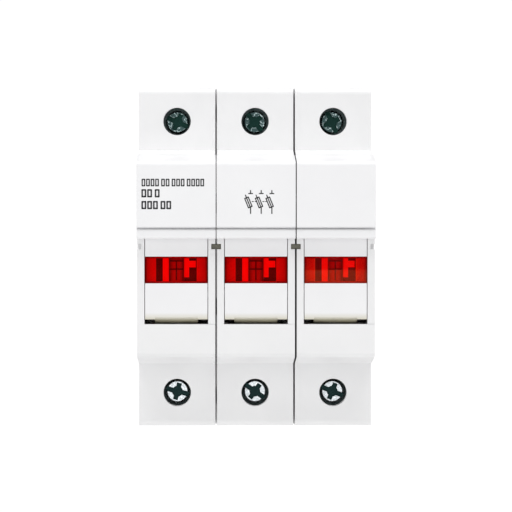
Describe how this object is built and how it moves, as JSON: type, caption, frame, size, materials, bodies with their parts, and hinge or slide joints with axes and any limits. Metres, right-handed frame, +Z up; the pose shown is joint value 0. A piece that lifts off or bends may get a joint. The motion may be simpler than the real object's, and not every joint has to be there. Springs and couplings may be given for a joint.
{
  "type": "rail-mounted cartridge fuse switch",
  "caption": "White modular fuse switch for a 35 mm rail: ganged swing-out carriers with red indicator windows, each holding a cylindrical cartridge fuse, and screw clamps above and below.",
  "frame": {"origin": "centre of the rail seat: the plane that rests on the rail's flanges, level with the rail's centre line, on the middle pole", "axes": "+X to the right across the poles as seen from the front, front face towards -Y, +Y into the rail, +Z up"},
  "size_m": [0.054, 0.063, 0.078],
  "materials": {
    "housing_plastic": "fine spark-eroded texture, semi-matte white polyamide",
    "carrier_plastic": "smooth satin white polyamide",
    "red_window": "clear red polycarbonate",
    "ceramic": "fine-grained unglazed ceramic",
    "nickel_brass": "bright nickel plating, lightly brushed",
    "contact_copper": "tin-plated copper, satin",
    "zinc_steel": "blue-passivated zinc on steel",
    "spring_steel": "dark oiled spring steel",
    "latch_plastic": "semi-matte grey polyamide",
    "silver_strip": "silvered strip and tinned wire",
    "board": "bare paper-phenolic board",
    "lamp_glass": "clear glass",
    "resistor_body": "dark lacquered body",
    "link_plastic": "olive-grey polyamide"
  },
  "bodies": {
    "housing": {"housing_base_1": "housing_plastic", "housing_cover_1": "housing_plastic", "upper_contact_1": "contact_copper", "lower_contact_1": "contact_copper", "latch_spring_1": "spring_steel", "housing_base_2": "housing_plastic", "housing_cover_2": "housing_plastic", "upper_contact_2": "contact_copper", "lower_contact_2": "contact_copper", "latch_spring_2": "spring_steel", "housing_base_3": "housing_plastic", "housing_cover_3": "housing_plastic", "upper_contact_3": "contact_copper", "lower_contact_3": "contact_copper", "latch_spring_3": "spring_steel", "upper_terminal_cages": "zinc_steel", "lower_terminal_cages": "zinc_steel", "jaw_spring_clips": "spring_steel", "pivot_pins": "zinc_steel", "through_rivets": "nickel_brass", "pole_link_clips": "link_plastic"},
    "carriers": {"carrier_1": "carrier_plastic", "window_1": "red_window", "fuse_tube_1": "ceramic", "fuse_caps_1": "nickel_brass", "carrier_2": "carrier_plastic", "window_2": "red_window", "fuse_tube_2": "ceramic", "fuse_caps_2": "nickel_brass", "carrier_3": "carrier_plastic", "window_3": "red_window", "fuse_tube_3": "ceramic", "fuse_caps_3": "nickel_brass", "fuse_elements": "silver_strip", "indicator_boards": "board", "neon_lamps": "lamp_glass", "resistors": "resistor_body", "indicator_leads": "silver_strip", "carrier_tie_rod": "zinc_steel"},
    "upper_pad_1": {"upper_pad_1": "zinc_steel"},
    "upper_screw_1": {"upper_screw_1": "zinc_steel"},
    "lower_pad_1": {"lower_pad_1": "zinc_steel"},
    "lower_screw_1": {"lower_screw_1": "zinc_steel"},
    "latch_1": {"rail_latch_1": "latch_plastic"},
    "upper_pad_2": {"upper_pad_2": "zinc_steel"},
    "upper_screw_2": {"upper_screw_2": "zinc_steel"},
    "lower_pad_2": {"lower_pad_2": "zinc_steel"},
    "lower_screw_2": {"lower_screw_2": "zinc_steel"},
    "latch_2": {"rail_latch_2": "latch_plastic"},
    "upper_pad_3": {"upper_pad_3": "zinc_steel"},
    "upper_screw_3": {"upper_screw_3": "zinc_steel"},
    "lower_pad_3": {"lower_pad_3": "zinc_steel"},
    "lower_screw_3": {"lower_screw_3": "zinc_steel"},
    "latch_3": {"rail_latch_3": "latch_plastic"}
  },
  "joints": [
    {"name": "carrier_swing", "type": "hinge", "parent": "housing", "child": "carriers", "pos_m": [0, -0.0503, -0.008], "axis": [1, 0, 0], "range_deg": [0, 90]},
    {"name": "upper_pad_slide_1", "type": "slide", "parent": "housing", "child": "upper_pad_1", "axis": [0, 1, 0], "range_m": [-0.0042, 0]},
    {"name": "upper_screw_turn_1", "type": "hinge", "parent": "upper_pad_1", "child": "upper_screw_1", "pos_m": [-0.018, -0.03, 0.0313], "axis": [0, 1, 0], "range_deg": [-2161, 0]},
    {"name": "lower_pad_slide_1", "type": "slide", "parent": "housing", "child": "lower_pad_1", "axis": [0, 1, 0], "range_m": [0, 0.0042]},
    {"name": "lower_screw_turn_1", "type": "hinge", "parent": "lower_pad_1", "child": "lower_screw_1", "pos_m": [-0.018, -0.0342, -0.0313], "axis": [0, 1, 0], "range_deg": [0, 2161]},
    {"name": "latch_slide_1", "type": "slide", "parent": "housing", "child": "latch_1", "axis": [0, 0, -1], "range_m": [0, 0.004], "stiffness_N_per_m": 800, "springref_m": -0.002, "deforming": ["latch_spring_1"]},
    {"name": "upper_pad_slide_2", "type": "slide", "parent": "housing", "child": "upper_pad_2", "axis": [0, 1, 0], "range_m": [-0.0042, 0]},
    {"name": "upper_screw_turn_2", "type": "hinge", "parent": "upper_pad_2", "child": "upper_screw_2", "pos_m": [0, -0.03, 0.0313], "axis": [0, 1, 0], "range_deg": [-2161, 0]},
    {"name": "lower_pad_slide_2", "type": "slide", "parent": "housing", "child": "lower_pad_2", "axis": [0, 1, 0], "range_m": [0, 0.0042]},
    {"name": "lower_screw_turn_2", "type": "hinge", "parent": "lower_pad_2", "child": "lower_screw_2", "pos_m": [0, -0.0342, -0.0313], "axis": [0, 1, 0], "range_deg": [0, 2161]},
    {"name": "latch_slide_2", "type": "slide", "parent": "housing", "child": "latch_2", "axis": [0, 0, -1], "range_m": [0, 0.004], "stiffness_N_per_m": 800, "springref_m": -0.002, "deforming": ["latch_spring_2"]},
    {"name": "upper_pad_slide_3", "type": "slide", "parent": "housing", "child": "upper_pad_3", "axis": [0, 1, 0], "range_m": [-0.0042, 0]},
    {"name": "upper_screw_turn_3", "type": "hinge", "parent": "upper_pad_3", "child": "upper_screw_3", "pos_m": [0.018, -0.03, 0.0313], "axis": [0, 1, 0], "range_deg": [-2161, 0]},
    {"name": "lower_pad_slide_3", "type": "slide", "parent": "housing", "child": "lower_pad_3", "axis": [0, 1, 0], "range_m": [0, 0.0042]},
    {"name": "lower_screw_turn_3", "type": "hinge", "parent": "lower_pad_3", "child": "lower_screw_3", "pos_m": [0.018, -0.0342, -0.0313], "axis": [0, 1, 0], "range_deg": [0, 2161]},
    {"name": "latch_slide_3", "type": "slide", "parent": "housing", "child": "latch_3", "axis": [0, 0, -1], "range_m": [0, 0.004], "stiffness_N_per_m": 800, "springref_m": -0.002, "deforming": ["latch_spring_3"]}
  ],
  "couplings": [
    {"joint": "upper_screw_turn_1", "follows": "upper_pad_slide_1", "rad_per_m": 8976},
    {"joint": "lower_screw_turn_1", "follows": "lower_pad_slide_1", "rad_per_m": 8976},
    {"joint": "upper_screw_turn_2", "follows": "upper_pad_slide_2", "rad_per_m": 8976},
    {"joint": "lower_screw_turn_2", "follows": "lower_pad_slide_2", "rad_per_m": 8976},
    {"joint": "upper_screw_turn_3", "follows": "upper_pad_slide_3", "rad_per_m": 8976},
    {"joint": "lower_screw_turn_3", "follows": "lower_pad_slide_3", "rad_per_m": 8976}
  ]
}
